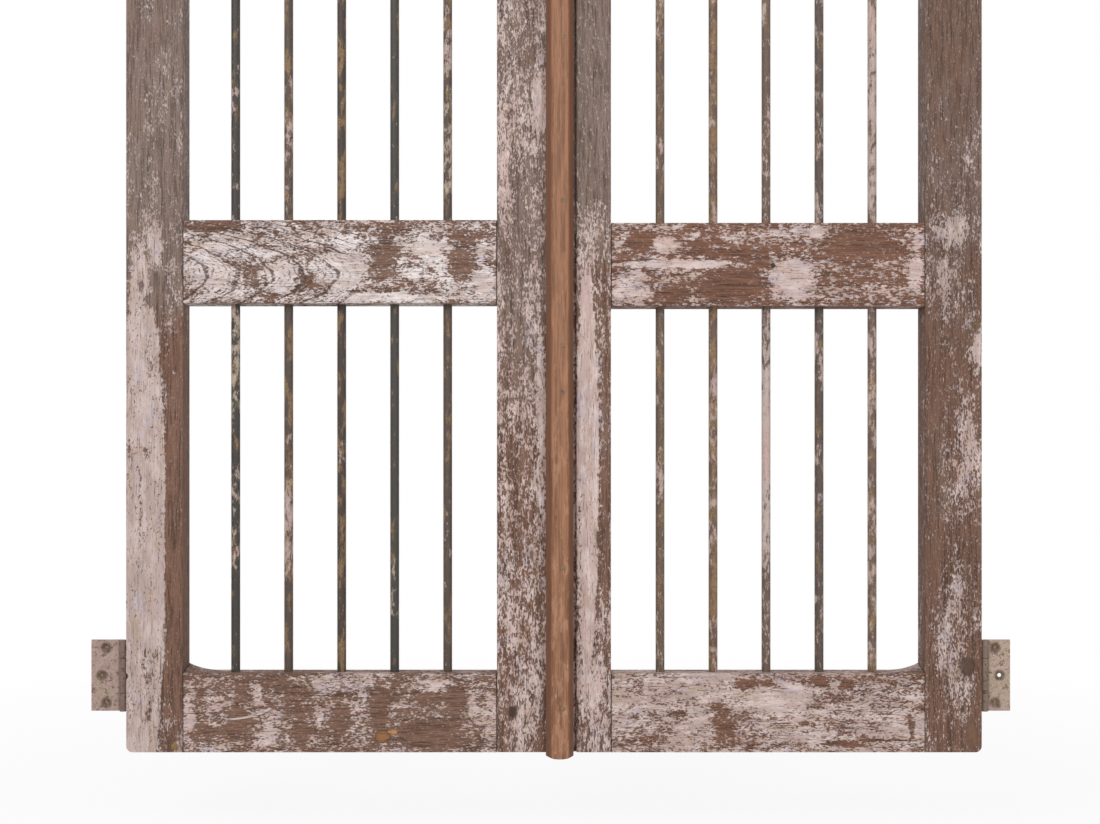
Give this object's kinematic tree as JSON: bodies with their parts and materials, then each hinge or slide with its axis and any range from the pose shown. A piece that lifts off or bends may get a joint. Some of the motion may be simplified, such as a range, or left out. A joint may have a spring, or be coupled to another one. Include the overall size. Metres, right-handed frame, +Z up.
{
  "type": "wood and iron garden gate",
  "caption": "Pair of hinged garden gate leaves: timber stiles and rails with round iron bars, and a chamfered bead over the meeting edges.",
  "frame": {"origin": "on the back face of the lower left fixed hinge plate, at the hinge's middle height and 16 mm outside its axis", "axes": "+X to the right seen from the front, +Y to the back, out of the fixed plates' back faces, +Z up"},
  "size_m": [1.312, 0.062, 1.4],
  "materials": {
    "painted_wood": "weathered, with flaking mauve-pink paint over bare brown wood",
    "varnished_wood": "worn orange-brown varnish",
    "iron_bar": "rough dark iron with remains of paint and rust",
    "painted_plate": "worn mauve and olive-cream paint",
    "hinge_pin": "dull, lightly rusted"
  },
  "bodies": {
    "root": {"lower_left_fixed_plate": "painted_plate", "upper_left_fixed_plate": "painted_plate", "lower_right_fixed_plate": "painted_plate", "upper_right_fixed_plate": "painted_plate", "lower_left_pin": "hinge_pin", "upper_left_pin": "hinge_pin", "lower_right_pin": "hinge_pin", "upper_right_pin": "hinge_pin"},
    "left_leaf": {"left_hanging_stile": "painted_wood", "left_meeting_stile": "painted_wood", "left_top_rail": "painted_wood", "left_middle_rail": "painted_wood", "left_bottom_rail": "painted_wood", "left_bar_1": "iron_bar", "left_bar_2": "iron_bar", "left_bar_3": "iron_bar", "left_bar_4": "iron_bar", "left_bar_5": "iron_bar", "left_lower_gate_plate": "painted_plate", "left_upper_gate_plate": "painted_plate"},
    "right_leaf": {"right_hanging_stile": "painted_wood", "right_meeting_stile": "painted_wood", "right_top_rail": "painted_wood", "right_middle_rail": "painted_wood", "right_bottom_rail": "painted_wood", "right_bar_1": "iron_bar", "right_bar_2": "iron_bar", "right_bar_3": "iron_bar", "right_bar_4": "iron_bar", "right_bar_5": "iron_bar", "right_lower_gate_plate": "painted_plate", "right_upper_gate_plate": "painted_plate", "meeting_bead": "varnished_wood"}
  },
  "joints": [
    {"name": "left_leaf_hinge", "type": "hinge", "parent": "root", "child": "left_leaf", "pos_m": [0.016, -0.006, 0], "axis": [0, 0, -1], "range_deg": [0, 105]},
    {"name": "right_leaf_hinge", "type": "hinge", "parent": "root", "child": "right_leaf", "pos_m": [1.243, -0.006, 0], "axis": [0, 0, 1], "range_deg": [0, 105]}
  ]
}
